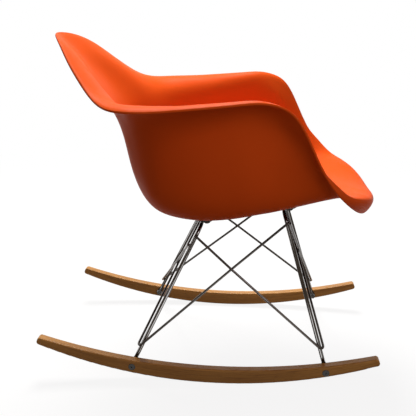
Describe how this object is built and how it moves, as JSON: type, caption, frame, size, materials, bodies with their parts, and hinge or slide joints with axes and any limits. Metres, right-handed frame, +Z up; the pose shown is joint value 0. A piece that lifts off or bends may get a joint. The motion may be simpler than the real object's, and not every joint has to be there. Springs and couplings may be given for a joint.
{
  "type": "rocking armchair",
  "caption": "Moulded plastic armchair shell on a chromed wire base with cross braces and curved wooden rockers.",
  "frame": {"origin": "on the floor, under the middle of the overall box; the rockers touch the floor 20 mm in front of it", "axes": "+X to the front of the chair, +Y to the left side of the chair, +Z up"},
  "size_m": [0.6885, 0.6236, 0.6777],
  "materials": {
    "shell_plastic": "satin orange moulded plastic",
    "rocker_wood": "clear satin lacquer, grain along the rocker",
    "chromed_rod": "polished chrome",
    "chromed_wire": "polished chrome",
    "mount_rubber": "matte black",
    "insert_steel": "plain steel",
    "black_steel": "black oxide",
    "zinc_steel": "zinc plated"
  },
  "bodies": {
    "root": {"seat_shell": "shell_plastic", "rocker_left": "rocker_wood", "rocker_right": "rocker_wood", "front_leg_hoop": "chromed_rod", "rear_leg_hoop": "chromed_rod", "brace_wire_front_left": "chromed_wire", "brace_wire_front_right": "chromed_wire", "brace_wire_rear_left": "chromed_wire", "brace_wire_rear_right": "chromed_wire", "mount_plate_front_left": "chromed_rod", "mount_plate_front_right": "chromed_rod", "mount_plate_rear_left": "chromed_rod", "mount_plate_rear_right": "chromed_rod", "shock_mount_front_left": "mount_rubber", "shock_mount_front_right": "mount_rubber", "shock_mount_rear_left": "mount_rubber", "shock_mount_rear_right": "mount_rubber", "mount_inserts": "insert_steel", "seat_screws": "black_steel", "seat_screw_washers": "zinc_steel", "rocker_bolts": "black_steel", "rocker_bolt_washers": "zinc_steel", "rocker_bolt_nuts": "black_steel"}
  },
  "joints": []
}
